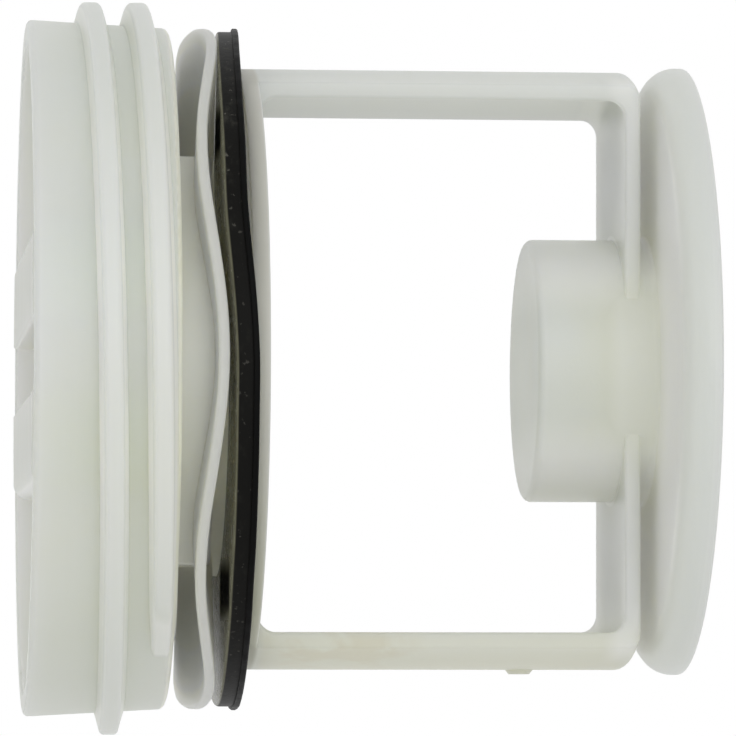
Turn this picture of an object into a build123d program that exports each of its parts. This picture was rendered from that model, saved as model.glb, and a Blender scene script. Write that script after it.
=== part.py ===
"""Drain-pump lint filter: a one-piece moulded screw-in filter insert and its rubber seal ring.

The filter stands on the grip of its screw cap. +Z runs along the screw axis from the grip's
front faces (z = 0) to the dished end disc. The loop's two arms lie at -X and +X, and the grip
in the cap runs along Y.
"""

import os
from math import cos, pi, radians, sin

from build123d import *

os.makedirs("parts", exist_ok=True)

# Screw cap, an open cup that faces -Z
cap_radius = 32.15
cap_height = 13.1
cap_wall = 2.3
cap_floor = 1.85
cap_draft = 0.7
cap_back_round = 0.6
cap_rim_round = 0.5
cup_mouth_round = 0.4

# Finger grip, two thick walls across the cup with a coin slot between them, proud of the rim
grip_slot = 6.3
grip_wall = 8.45
grip_proud = 0.15
grip_outer_round = 1.5
grip_slot_round = 0.4
grip_root_depth = 0.5
grip_end_depth = 1.2

# Coarse right-hand thread on the outside of the cap
thread_depth = 2.35
thread_pitch = 4.3
thread_base_width = 2.8
thread_crest_width = 1.5
thread_crest_round = 0.4
thread_back_margin = 1.12
thread_start_angle = 85
thread_end_angle = 690
thread_run_out = 36
thread_sections = 24
thread_root_depth = 0.5

# Neck behind the cap, a flat-sided block with a round collar on it that carries the seal
block_radius = 25.5
block_width = 36.6
block_height = 3.2
block_edge_round = 0.8
neck_radius = 19.2
neck_wall = 1.8

# Carrier disc past the seal
carrier_radius = 27.8
carrier_thickness = 1.5

# Seal ring against the carrier disc, which its rim laps over
seal_gap = 4.8
seal_web = 1.65
seal_rim = 1.97
seal_rim_wall = 3.25
seal_lip = 0.3
seal_lip_width = 0.55
seal_edge_round = 0.3
seal_lip_round = 0.2
seal_bore_clearance = 0.1
seal_rim_clearance = 0.15

# Springy wave flange between the cap and the seal
flange_overhang = 0.25
flange_thickness = 0.95
flange_waves = 5
flange_wave = 0.82
flange_clearance = 0.69
flange_edge_round = 0.3
flange_root_depth = 1.8

# Loop of two curved arms and an end bar
loop_length = 36.6
arm_thickness = 1.45
arm_width = 21.0
bar_thickness = 1.45
loop_outer_round = 1.2
loop_inner_round = 1.5
arm_root_round = 1.8
loop_edge_round = 0.3

# Hollow boss through the end bar
boss_radius = 12.2
boss_wall = 2.0
boss_reach = 9.55
boss_edge_round = 0.7

# Dished end disc
disc_radius = 28.25
disc_gap = 1.6
disc_depth = 3.45
disc_wall = 2.0
disc_front_round = 2.65
disc_back_round = 0.3
disc_root_round = 0.6

# Gate stub on the +X arm, left by the moulding
gate_radius = 1.9
gate_taper = 40
gate_height = 0.4
gate_reach = 10.0

# Radii that follow from the sizes above
cap_back_radius = cap_radius - cap_draft
cup_radius = cap_radius - cap_wall
neck_bore = block_width / 2 - neck_wall
block_core_radius = neck_bore + neck_wall / 2
arm_inner_radius = carrier_radius - arm_thickness
boss_bore = boss_radius - boss_wall
dish_radius = disc_radius - disc_wall
seal_bore = neck_radius + seal_bore_clearance
seal_rim_bore = carrier_radius + seal_rim_clearance
seal_radius = seal_rim_bore + seal_rim_wall
seal_lip_radius = seal_radius + seal_lip
flange_radius = seal_radius + flange_overhang
flange_path_radius = (neck_radius - flange_root_depth + flange_radius) / 2

# Heights that follow from them, from the cap to the end disc
cup_floor_z = cap_height - cap_floor
thread_rise = thread_pitch * (thread_end_angle - thread_start_angle) / 360
thread_start_z = cap_height - thread_back_margin - thread_rise
block_end_z = cap_height + block_height
seal_start_z = cap_height + seal_gap
flange_mid_z = seal_start_z - flange_clearance - flange_wave - flange_thickness / 2
carrier_start_z = seal_start_z + seal_web
carrier_end_z = carrier_start_z + carrier_thickness
neck_floor_z = carrier_end_z - neck_wall
bar_end_z = carrier_start_z + loop_length
bar_start_z = bar_end_z - bar_thickness
boss_start_z = bar_end_z - boss_reach
gate_z = bar_end_z - gate_reach
disc_start_z = bar_end_z + disc_gap
disc_floor_z = disc_start_z + disc_wall
disc_end_z = disc_start_z + disc_depth


def round_corner(x, y, radius):
    """Round the corner of the profile being drawn that lies at x, y."""
    fillet(vertices().sort_by_distance((x, y))[0], radius)


def circles_at(builder, height, radius):
    """Round edges of a part that lie level at one height, picked by their radius."""
    arcs = builder.edges().filter_by(GeomType.CIRCLE)
    return [
        edge for edge in arcs
        if abs(edge.center().Z - height) < 0.01 and abs(edge.radius - radius) < 0.01
    ]


def thread_plane(angle):
    """Radial plane of the thread's profile, sunk into the cap's wall towards both ends."""
    from_end = min(angle - thread_start_angle, thread_end_angle - angle)
    raised = min(1, from_end / thread_run_out)
    root_radius = cap_back_radius - (1 - sin(raised * pi / 2)) * (thread_depth + thread_crest_round)
    height = thread_start_z + thread_pitch * (angle - thread_start_angle) / 360
    outward = Vector(cos(radians(angle)), sin(radians(angle)), 0)
    return Plane(
        origin=outward * root_radius + Vector(0, 0, height),
        x_dir=outward,
        z_dir=outward.cross(Vector(0, 0, 1)),
    )


def flange_half_wave(lift):
    """Half a wave of the flange's middle line, from its crest at -Y, raised by lift."""
    points = []
    for part in (0, 0.25, 0.5, 0.75, 1):
        crest = Vector(0, -flange_path_radius, flange_mid_z + flange_wave * cos(pi * part) + lift)
        points.append(crest.rotate(Axis.Z, part * 180 / flange_waves))
    trough_direction = Vector(1, 0, 0).rotate(Axis.Z, 180 / flange_waves)
    return Spline(*points, tangents=((1, 0, 0), trough_direction))


# One wave of the flange, kept upright by a raised guide line and mirrored about its crest
with BuildPart() as one_wave:
    with BuildLine() as wave:
        flange_half_wave(0)
    with BuildLine() as guide:
        flange_half_wave(flange_radius)
    half_width = flange_radius - flange_path_radius
    section_origin = (0, -flange_path_radius, flange_mid_z + flange_wave)
    with BuildSketch(Plane(section_origin, x_dir=(0, -1, 0), z_dir=(1, 0, 0))):
        Rectangle(2 * half_width, flange_thickness)
        round_corner(half_width, flange_thickness / 2, flange_edge_round)
        round_corner(half_width, -flange_thickness / 2, flange_edge_round)
    sweep(path=wave.line, binormal=guide.line.edge())
    mirror(about=Plane.YZ)

# Grip walls, trimmed to run into the cup's wall and floor and into the hollow neck
with BuildPart() as grip:
    wall_height = neck_floor_z + grip_root_depth
    slot_side = grip_slot / 2
    outer_side = slot_side + grip_wall
    with BuildSketch(Plane.XZ):
        with GridLocations(grip_slot + grip_wall, 0, 2, 1):
            Rectangle(grip_wall, wall_height, align=(Align.CENTER, Align.MIN))
        for side in (-1, 1):
            round_corner(side * slot_side, 0, grip_slot_round)
            round_corner(side * outer_side, 0, grip_outer_round)
    extrude(amount=cap_radius, both=True)
    with BuildSketch(Plane.XZ):
        with BuildLine():
            Polyline(
                (0, 0),
                (cup_radius + grip_end_depth, 0),
                (cup_radius + grip_end_depth, cup_floor_z + grip_root_depth),
                (neck_bore + grip_root_depth, cup_floor_z + grip_root_depth),
                (neck_bore + grip_root_depth, wall_height),
                (0, wall_height),
                close=True,
            )
        make_face()
    revolve(axis=Axis.Z, mode=Mode.INTERSECT)

# Carrier disc, arms and end bar of the loop
with BuildPart() as loop:
    with BuildSketch(Plane.XY.offset(carrier_start_z)):
        Circle(carrier_radius)
        Rectangle(2 * carrier_radius, arm_width, mode=Mode.INTERSECT)
    extrude(amount=bar_end_z - carrier_start_z)
    with BuildSketch(Plane.XY.offset(carrier_end_z)):
        Circle(arm_inner_radius)
    extrude(amount=bar_start_z - carrier_end_z, mode=Mode.SUBTRACT)
    fillet(circles_at(loop, bar_start_z, arm_inner_radius), loop_inner_round)
    fillet(circles_at(loop, carrier_end_z, arm_inner_radius), arm_root_round)
    fillet(circles_at(loop, bar_end_z, carrier_radius), loop_outer_round)
    outlines = loop.faces().filter_by(Axis.Y).edges()
    free_outlines = outlines.filter_by(lambda edge: edge.center().Z > carrier_start_z + loop_edge_round)
    fillet(free_outlines, loop_edge_round)
    with BuildSketch(Plane.XY.offset(carrier_start_z)):
        Circle(carrier_radius)
    extrude(amount=carrier_thickness)

with BuildPart() as filter_body:
    # Cap and neck as one turned blank, with the flange and the loop on it
    with BuildSketch(Plane.XZ):
        with BuildLine():
            Polyline(
                (0, grip_proud),
                (cap_radius, grip_proud),
                (cap_back_radius, cap_height),
                (block_core_radius, cap_height),
                (block_core_radius, block_end_z),
                (neck_radius, block_end_z),
                (neck_radius, carrier_start_z),
                (0, carrier_start_z),
                close=True,
            )
        make_face()
        round_corner(cap_radius, grip_proud, cap_rim_round)
        round_corner(cap_back_radius, cap_height, cap_back_round)
    revolve(axis=Axis.Z)
    with BuildSketch(Plane.XY.offset(cup_floor_z)):
        Circle(block_radius)
        Rectangle(block_width, 2 * block_radius, mode=Mode.INTERSECT)
        fillet(vertices(), block_edge_round)
    extrude(amount=block_end_z - cup_floor_z)
    with PolarLocations(0, flange_waves):
        add(one_wave.part)
    add(loop.part)

    # Thread with run-outs at both ends
    thread_sweep = thread_end_angle - thread_start_angle
    for section in range(thread_sections + 1):
        with BuildSketch(thread_plane(thread_start_angle + thread_sweep * section / thread_sections)):
            with BuildLine():
                Polyline(
                    (-thread_root_depth, -thread_base_width / 2),
                    (0, -thread_base_width / 2),
                    (thread_depth, -thread_crest_width / 2),
                    (thread_depth, thread_crest_width / 2),
                    (0, thread_base_width / 2),
                    (-thread_root_depth, thread_base_width / 2),
                    close=True,
                )
            make_face()
            round_corner(thread_depth, -thread_crest_width / 2, thread_crest_round)
            round_corner(thread_depth, thread_crest_width / 2, thread_crest_round)
    loft()

    # Cup and hollow neck, with the grip standing in them
    for bore, top, floor in ((cup_radius, grip_proud, cup_floor_z), (neck_bore, cup_floor_z, neck_floor_z)):
        with BuildSketch(Plane.XY.offset(top)):
            Circle(bore)
        extrude(amount=floor - top, mode=Mode.SUBTRACT)
    fillet(circles_at(filter_body, grip_proud, cup_radius), cup_mouth_round)
    add(grip.part)

    # Boss and dished end disc, hollow from the back
    with BuildSketch(Plane.XZ):
        with BuildLine():
            Polyline(
                (0, boss_start_z),
                (boss_radius, boss_start_z),
                (boss_radius, disc_start_z),
                (disc_radius, disc_start_z),
                (disc_radius, disc_end_z),
                (0, disc_end_z),
                close=True,
            )
        make_face()
        round_corner(boss_radius, boss_start_z, boss_edge_round)
        round_corner(boss_radius, disc_start_z, disc_root_round)
        round_corner(disc_radius, disc_start_z, disc_front_round)
        round_corner(disc_radius, disc_end_z, disc_back_round)
    revolve(axis=Axis.Z)
    with BuildSketch(Plane.XZ):
        with BuildLine():
            Polyline(
                (0, boss_start_z + boss_wall),
                (boss_bore, boss_start_z + boss_wall),
                (boss_bore, disc_floor_z),
                (dish_radius, disc_floor_z),
                (dish_radius, disc_end_z),
                (0, disc_end_z),
                close=True,
            )
        make_face()
        round_corner(boss_bore, boss_start_z + boss_wall, boss_edge_round)
        round_corner(boss_bore, disc_floor_z, disc_root_round)
        round_corner(dish_radius, disc_floor_z, disc_root_round)
    revolve(axis=Axis.Z, mode=Mode.SUBTRACT)

    # Gate stub on the outside of the +X arm
    with BuildSketch(Plane((arm_inner_radius + arm_thickness / 2, 0, gate_z), z_dir=(1, 0, 0))):
        Circle(gate_radius)
    extrude(amount=arm_thickness / 2 + gate_height, taper=gate_taper)

with BuildPart() as seal_ring:
    seal_end_z = seal_start_z + seal_rim
    with BuildSketch(Plane.XZ):
        with BuildLine():
            Polyline(
                (seal_bore, seal_start_z),
                (seal_radius, seal_start_z),
                (seal_radius, seal_end_z - seal_lip_width),
                (seal_lip_radius, seal_end_z - seal_lip_width),
                (seal_lip_radius, seal_end_z),
                (seal_rim_bore, seal_end_z),
                (seal_rim_bore, carrier_start_z),
                (seal_bore, carrier_start_z),
                close=True,
            )
        make_face()
        round_corner(seal_radius, seal_start_z, seal_edge_round)
        round_corner(seal_lip_radius, seal_end_z, seal_lip_round)
    revolve(axis=Axis.Z)

filter_body.part.label = "filter_body"
export_step(filter_body.part, "parts/filter_body.step")
seal_ring.part.label = "seal_ring"
export_step(seal_ring.part, "parts/seal_ring.step")
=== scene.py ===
from math import atan2, degrees, hypot, pi

import bmesh
import bpy
from mathutils import Matrix, Vector, noise


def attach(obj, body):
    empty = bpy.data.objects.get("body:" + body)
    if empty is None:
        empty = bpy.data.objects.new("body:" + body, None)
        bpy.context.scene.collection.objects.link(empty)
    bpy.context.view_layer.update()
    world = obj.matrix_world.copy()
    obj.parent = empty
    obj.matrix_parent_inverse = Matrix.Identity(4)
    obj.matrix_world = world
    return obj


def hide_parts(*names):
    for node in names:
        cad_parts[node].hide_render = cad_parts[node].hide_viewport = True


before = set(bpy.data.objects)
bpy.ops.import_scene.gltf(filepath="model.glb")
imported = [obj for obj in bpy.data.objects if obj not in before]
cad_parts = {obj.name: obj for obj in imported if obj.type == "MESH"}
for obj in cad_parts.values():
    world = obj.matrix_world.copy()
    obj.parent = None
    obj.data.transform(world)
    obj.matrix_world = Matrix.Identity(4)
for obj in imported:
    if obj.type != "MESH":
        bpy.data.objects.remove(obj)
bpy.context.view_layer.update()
scene = bpy.context.scene
MM = 0.001


# Filter body
# One injection moulding of unpigmented polypropylene, milky and a little see-through, with a
# satin skin from the mould. Thin walls, hollows and gaps are painted palest, as painted light
# standing in for light that gets through them, and limbs and edges carry painted shade. It has
# aged creamy in the middle of the end disc and on the lower arm, which is a little stained.
class Socket:
    """A shader value. Sums with it add Math nodes, and node() adds any other node to its tree."""

    def __init__(self, tree, output=None):
        self.tree = tree
        self.output = output

    def node(self, kind, settings, sockets, output=0):
        made = self.tree.nodes.new(kind)
        for name, value in settings.items():
            setattr(made, name, value)
        for name, value in sockets.items():
            if isinstance(value, Socket):
                self.tree.links.new(value.output, made.inputs[name])
            else:
                made.inputs[name].default_value = value
        return Socket(self.tree, made.outputs[output])

    def math(self, operation, first, second=0.0):
        return self.node("ShaderNodeMath", {"operation": operation}, {0: first, 1: second})

    def __add__(self, other):
        return self.math("ADD", self, other)

    def __sub__(self, other):
        return self.math("SUBTRACT", self, other)

    def __rsub__(self, other):
        return self.math("SUBTRACT", other, self)

    def __mul__(self, other):
        return self.math("MULTIPLY", self, other)

    __radd__ = __add__
    __rmul__ = __mul__

    def ramp(self, low, high):
        """0 below low, 1 above high, smooth between them."""
        sockets = {"Value": self, "From Min": low, "From Max": high}
        return self.node("ShaderNodeMapRange", {"interpolation_type": "SMOOTHSTEP"}, sockets)

    def band(self, low, high, soft):
        """1 between low and high, fading to 0 within soft of each of them."""
        return self.ramp(low, low + soft) * (1 - self.ramp(high - soft, high))

    def part(self, axis):
        """One coordinate of this vector."""
        return self.node("ShaderNodeSeparateXYZ", {}, {"Vector": self}, axis)

    def noise(self, size, detail=2.0, roughness=0.5):
        """Noise on this vector whose patches are about size metres wide."""
        sockets = {"Vector": self, "Scale": 1 / size, "Detail": detail, "Roughness": roughness}
        return self.node("ShaderNodeTexNoise", {}, sockets, "Fac")

    def stretched(self, scale):
        """This vector scaled by three numbers, to draw a pattern out along an axis."""
        return self.node("ShaderNodeMapping", {}, {"Vector": self, "Scale": scale}, "Vector")

    def blend(self, first, second):
        """Colour between first and second by this value."""
        sockets = {"Factor": self, 6: first, 7: second}
        return self.node("ShaderNodeMix", {"data_type": "RGBA"}, sockets, 2)

    def bump(self, depth):
        """Surface normal raised by this height, depth metres high at 1."""
        sockets = {"Height": self, "Distance": depth, "Strength": 1.0}
        return self.node("ShaderNodeBump", {}, sockets, "Normal")

    def feed(self, shader, name):
        """Links this value to a socket of shader."""
        self.tree.links.new(self.output, shader.inputs[name])


def new_material(name):
    """A material with its main shader and the object's own coordinates."""
    material = bpy.data.materials.new(name)
    material.use_nodes = True
    shader = material.node_tree.nodes["Principled BSDF"]
    place = Socket(material.node_tree).node("ShaderNodeTexCoord", {}, {}, "Object")
    return material, shader, place


def millimetres(place):
    """The three coordinates of place in millimetres."""
    return [place.part(axis) * (1 / MM) for axis in "XYZ"]


COOL_WHITE = (0.692, 0.722, 0.684, 1)
CREAM = (0.690, 0.700, 0.545, 1)
WEAR_AND_HIGHLIGHT_WHITE = (0.780, 0.800, 0.755, 1)
PAINTED_LIGHT_WHITE = (0.950, 0.965, 0.865, 1)
SHADE_WHITE = (0.605, 0.640, 0.598, 1)
ARM_SHADE_CREAM = (0.605, 0.605, 0.480, 1)
FRONT_SHADE_WHITE = (0.655, 0.675, 0.615, 1)
GAP_PAINTED_LIGHT = (0.970, 0.965, 0.830, 1)
FLANGE_PAINTED_LIGHT = (0.960, 0.975, 0.945, 1)
BAND_CREAM_PAINTED_LIGHT = (0.970, 0.970, 0.740, 1)
BACKED_SHADE = (0.540, 0.535, 0.460, 1)
LOW_BACKED_SHADE = (0.400, 0.405, 0.310, 1)
STAIN = (0.560, 0.500, 0.360, 1)
CAP_RADIUS = 32.15
CAP_TAPER = 0.0534
plastic, shader, place = new_material("milky_polypropylene")
x, y, z = millimetres(place)
radius = place.math("SQRT", x * x + y * y)
off_middle = place.math("ABSOLUTE", x)

# Where the moulding's own pieces lie.
on_front = 1 - z.ramp(0.02, 0.15)
in_cup = z.band(0.1, 20, 0.3) * (1 - radius.ramp(29.9, 30.1))
on_cap = 1 - z.ramp(12.5, 13.5)
above_cap = radius + z * CAP_TAPER - CAP_RADIUS
flanks = above_cap.band(0.05, 1.6, 0.25) * on_cap
crests = above_cap.ramp(1.2, 1.9) * on_cap
in_gap = z.band(12.6, 18.1, 0.3)
on_carrier = z.band(19.0, 21.3, 0.5) * radius.ramp(26, 27)
along_arms = z.band(20, 58, 2)
low_arm = x.ramp(14, 26) * along_arms
by_bar = z.band(52.5, 60, 2) * radius.ramp(8, 18)
boss_sides = z.ramp(45, 46) * (1 - radius.ramp(12.4, 13)) * off_middle.ramp(4, 10)
disc_middle = z.ramp(48, 55) * (1 - z.ramp(57.8, 58.6)) * (1 - radius.ramp(15, 25))
disc_rim = z.ramp(55, 57) * radius.ramp(25.2, 27.5)

# Marks of moulding, age and use, and a painted highlight on the thread crests.
clouds = place.noise(14 * MM, 3.0).ramp(0.36, 0.70)
mould_lines = place.stretched((0.03, 0.03, 1)).noise(0.55 * MM, 3.0, 0.6) * on_cap
mottle = place.noise(1.6 * MM, 4.0, 0.6)
scuffs = place.stretched((1, 1, 0.3)).noise(0.8 * MM, 5.0, 0.7).ramp(0.60, 0.75)
aged = clouds * 0.25 + low_arm * 0.75 + disc_middle * 0.6 + on_cap * x.ramp(-10, 30) * 0.4
# The thread crests are painted paler as a painted highlight. Scuffs, mould lines and mottle are real
# wear and tone.
wear_and_highlight = crests * 0.45 + scuffs * 0.12 + mould_lines * 0.16 + mottle * 0.10
stain_patches = place.noise(4 * MM, 3.0).ramp(0.42, 0.60)
stained = x.ramp(20, 23) * z.band(20.5, 37, 4) * (1 - y.ramp(-12, 4)) * stain_patches

# Painted light: the thread flanks, the cup's hollows, the bar's surroundings and the boss's sides are
# painted paler where they lie in shade.
painted_light = place.math("MAXIMUM", place.math("MAXIMUM", by_bar, boss_sides), flanks + in_cup)
arms = (off_middle.ramp(22, 25) * 0.45 + off_middle.ramp(26, 27.5) * 0.5) * along_arms
shaded = arms + disc_rim * 0.75 + on_cap * off_middle.ramp(10, 31) * 0.55
# The painted shade is creamy on the lower arm and cool grey elsewhere.
shade_tint = low_arm.blend(SHADE_WHITE, ARM_SHADE_CREAM)
# Painted light: the neck, the flange's faces and its band, in the gap between cap and seal, are
# painted near white where they lie in shade.
neck_to_flange = radius.ramp(25.6, 26.6).blend(GAP_PAINTED_LIGHT, FLANGE_PAINTED_LIGHT)
gap_painted_light = radius.ramp(29.6, 30.4).blend(neck_to_flange, BAND_CREAM_PAINTED_LIGHT)
# Painted shade: the carrier's rim beside the black seal is painted darker, and darker still towards
# the lower arm.
carrier_shade_tint = x.ramp(5, 26).blend(BACKED_SHADE, LOW_BACKED_SHADE)
tint = wear_and_highlight.blend(aged.blend(COOL_WHITE, CREAM), WEAR_AND_HIGHLIGHT_WHITE)
tint = shaded.blend(painted_light.blend(tint, PAINTED_LIGHT_WHITE), shade_tint)
# Painted shade: the front face at the mouth is painted darker.
tint = in_gap.blend(on_front.blend(tint, FRONT_SHADE_WHITE), gap_painted_light)
tint = on_carrier.blend(tint, carrier_shade_tint)
(stained * 0.5).blend(tint, STAIN).feed(shader, "Base Color")

grain = place.noise(0.3 * MM, 3.0)
flow = place.stretched((1, 1, 0.2)).noise(6 * MM, 2.0)
(grain * 0.10 + flow * 0.12 + scuffs * 0.10 + 0.27).feed(shader, "Roughness")
relief = grain * 0.12 + flow * 0.6 + mould_lines * 0.12 + mottle * 0.2
relief.bump(0.05 * MM).feed(shader, "Normal")
shader.inputs["IOR"].default_value = 1.49
shader.inputs["Subsurface Weight"].default_value = 1.0
shader.inputs["Subsurface Radius"].default_value = (1.0, 0.97, 0.86)
shader.inputs["Subsurface Scale"].default_value = 9.0 * MM
body_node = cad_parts["filter_body"]
body_node.data.materials.clear()
body_node.data.materials.append(plastic)

# Seal ring
# A ring of soft black rubber with a thin lip round its edge towards the end disc, stretched over
# the neck. It dips where it bridges two crests of the flange. It is dusty, with the dust painted
# thicker towards the −X side as a painted sheen, and its face towards the cap carries a painted
# reflection of the flange and painted slit shadows.
SEAL_CORNERS = (
    (19.3, 17.9), (31.2, 17.9), (31.2, 19.32), (31.5, 19.32),
    (31.5, 19.87), (27.95, 19.87), (27.95, 19.55), (19.3, 19.55),
)
SEAL_START = SEAL_CORNERS[0][1]
SEAL_ROUNDS = ((31.2, 17.9, 0.3), (31.5, 19.32, 0.1), (31.5, 19.87, 0.2))
SEAL_STEPS = 360
SEAL_DIP = 0.92 * MM
SLACK_RISE = 0.06 * MM
SLACK_SPREAD = 0.04 * MM
LIP_RAG = 0.07 * MM
SHARP_EDGE = 0.7
ring = bmesh.new()
corners = []
for corner_radius, corner_height in SEAL_CORNERS:
    corner = Vector((corner_radius, 0, corner_height)) * MM
    corners += bmesh.ops.create_vert(ring, co=corner)["vert"]
outline = [ring.edges.new(pair) for pair in zip(corners, corners[1:] + corners[:1])]
bmesh.ops.spin(
    ring, geom=corners + outline, cent=(0, 0, 0), axis=(0, 0, 1), angle=2 * pi,
    steps=SEAL_STEPS, use_merge=True,
)
bmesh.ops.remove_doubles(ring, verts=ring.verts, dist=0.001 * MM)


def circles_through(mesh, radius, height):
    """Edges of a turned mesh that run round its axis at one radius and height."""
    near = 0.02 * MM
    return [
        edge for edge in mesh.edges
        if all(
            abs(hypot(end.co.x, end.co.y) - radius * MM) < near and abs(end.co.z - height * MM) < near
            for end in edge.verts
        )
    ]


for corner_radius, corner_height, round_size in SEAL_ROUNDS:
    bmesh.ops.bevel(
        ring, geom=circles_through(ring, corner_radius, corner_height), offset=round_size * MM,
        affect="EDGES", segments=4, profile=0.5, material=-1,
    )


def step(value, low, high):
    """0 at low, 1 at high, smooth between them."""
    part = min(1, max(0, (value - low) / (high - low)))
    return part * part * (3 - 2 * part)


rise = ring.verts.layers.float.new("rise")
for vert in ring.verts:
    vert[rise] = vert.co.z / MM - SEAL_START
    ring_radius = hypot(vert.co.x, vert.co.y)
    turn = degrees(atan2(vert.co.y, -vert.co.x))
    dip = step(turn, -94, -60) * step(turn, 15, -42)
    outward = Vector((vert.co.x, vert.co.y, 0)).normalized()
    slack = noise.noise(outward * 4.0) * step(ring_radius, 28 * MM, 31 * MM)
    rag = noise.fractal(outward * 26.0, 0.8, 2.0, 3) * step(ring_radius, 31.1 * MM, 31.5 * MM)
    vert.co.z -= SEAL_DIP * dip - SLACK_RISE * slack
    vert.co += outward * (LIP_RAG * rag + SLACK_SPREAD * slack)
bmesh.ops.recalc_face_normals(ring, faces=ring.faces)
for face in ring.faces:
    face.smooth = True
seal_mesh = bpy.data.meshes.new("rubber_seal")
ring.to_mesh(seal_mesh)
ring.free()
seal_mesh.set_sharp_from_angle(angle=SHARP_EDGE)
seal = bpy.data.objects.new("rubber_seal", seal_mesh)
scene.collection.objects.link(seal)
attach(seal, "root")
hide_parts("seal_ring")

BLACK = (0.0055, 0.0054, 0.0046, 1)
LIP_AND_SHADOW_BLACK = (0.0012, 0.0012, 0.0011, 1)
DUST_AND_SHEEN = (0.052, 0.051, 0.043, 1)
SPECK = (0.160, 0.155, 0.135, 1)
FACE_REFLECTION_OLIVE = (0.240, 0.235, 0.165, 1)
rubber, shader, place = new_material("black_seal_rubber")
x, y, z = millimetres(place)
height = place.node("ShaderNodeAttribute", {"attribute_name": "rise"}, {}, "Fac")
on_face = 1 - height.ramp(0.02, 0.20)
on_lip = height.ramp(1.38, 1.46)
# Painted sheen: the dust smears are laid thicker towards the −X side, standing in for a reflection of
# the bright surround.
towards_minus_x = 1 - x.ramp(-27, -8)
smears = place.stretched((1, 1, 1.6)).noise(1.7 * MM, 6.0, 0.65).ramp(0.50, 0.80)
specks = place.noise(0.55 * MM, 3.0).ramp(0.66, 0.72)
rings = place.stretched((0.2, 0.2, 0.2)).noise(0.5 * MM, 2.0)
# Painted shadow: two black slits on the seal's face where the flange's crests meet it. The same black
# is the lip's own colour.
slit_shadows = place.math("ABSOLUTE", x).band(17.5, 23.5, 2) * y.band(-22, -6, 3)
tint = (smears * (towards_minus_x * 0.75 + 0.18)).blend(BLACK, DUST_AND_SHEEN)
tint = (specks * (towards_minus_x * 0.5 + 0.25)).blend(tint, SPECK)
# Painted reflection: the seal's face towards the cap is painted olive in rings, a reflection of the
# pale flange.
face_reflection_and_shadow = slit_shadows.blend(FACE_REFLECTION_OLIVE, LIP_AND_SHADOW_BLACK)
tint = (on_face * (rings * 0.7 + 0.4)).blend(on_lip.blend(tint, LIP_AND_SHADOW_BLACK), face_reflection_and_shadow)
tint.feed(shader, "Base Color")
(smears * 0.15 + 0.46 + on_face * (slit_shadows * 0.70 - 0.22)).feed(shader, "Roughness")
place.noise(0.5 * MM, 4.0).bump(0.03 * MM).feed(shader, "Normal")
shader.inputs["Specular IOR Level"].default_value = 0.07
seal_mesh.materials.append(rubber)

# Studio
# A pale floor under the grip that only the camera sees, and only from above, so that light comes
# from below too. The surround is white and lights the filter most from the camera's side.
FLOOR_SIZE = 1.6
FLOOR_DROP = 0.1 * MM
FLOOR_WHITE = (0.86, 0.86, 0.85, 1)
bpy.ops.mesh.primitive_plane_add(size=FLOOR_SIZE, location=(0, 0, -FLOOR_DROP))
floor = bpy.context.object
floor.name = "floor"
floor_paint, shader, place = new_material("pale_floor")
shader.inputs["Base Color"].default_value = FLOOR_WHITE
shader.inputs["Roughness"].default_value = 0.9
camera_ray = place.node("ShaderNodeLightPath", {}, {}, "Is Camera Ray")
from_below = place.node("ShaderNodeNewGeometry", {}, {}, "Backfacing")
seen = camera_ray * (1 - from_below)
clear = place.node("ShaderNodeBsdfTransparent", {}, {})
painted = Socket(floor_paint.node_tree, shader.outputs[0])
shown = place.node("ShaderNodeMixShader", {}, {"Fac": seen, 1: clear, 2: painted})
shown.feed(floor_paint.node_tree.nodes["Material Output"], "Surface")
floor.data.materials.append(floor_paint)

LIGHT_ALL_ROUND = 0.54
LIGHT_FROM_CAMERA = 0.17
world = bpy.data.worlds.new("studio")
scene.world = world
world.use_nodes = True
surround = world.node_tree.nodes["Background"]
surround.inputs["Color"].default_value = (1, 1, 1, 1)
direction = Socket(world.node_tree).node("ShaderNodeTexCoord", {}, {}, "Generated")
white = 0
for ray in ("Is Camera Ray", "Is Glossy Ray", "Is Transmission Ray"):
    white = direction.math("MAXIMUM", direction.node("ShaderNodeLightPath", {}, {}, ray), white)
towards_camera = 1 - direction.part("Y").ramp(-1, 1)
soft_light = towards_camera * LIGHT_FROM_CAMERA + LIGHT_ALL_ROUND
(white + (1 - white) * soft_light).feed(surround, "Strength")

AIM = Vector((-0.19, 0, 32.05)) * MM
KEY_PLACE = Vector((-0.15, -0.60, 0.10))
key_lamp = bpy.data.lights.new("key", "AREA")
key_lamp.size = 0.45
key_lamp.energy = 0.75
key = bpy.data.objects.new("key", key_lamp)
scene.collection.objects.link(key)
key.location = KEY_PLACE
key.rotation_euler = (AIM - KEY_PLACE).to_track_quat("-Z", "Y").to_euler()

CAMERA_PLACE = Vector((23.79, -528.36, -14.62)) * MM
CAMERA_TILT = 0.00175
camera_data = bpy.data.cameras.new("camera")
camera_data.sensor_width = 36
camera_data.lens = 279.6
camera = bpy.data.objects.new("camera", camera_data)
scene.collection.objects.link(camera)
view = (AIM - CAMERA_PLACE).normalized()
right = view.cross(Vector((-1, 0, -CAMERA_TILT))).normalized()
up = right.cross(view)
turned = Matrix((right, up, -view)).transposed().to_4x4()
camera.matrix_world = Matrix.Translation(CAMERA_PLACE) @ turned
scene.camera = camera

scene.view_settings.view_transform = "Standard"
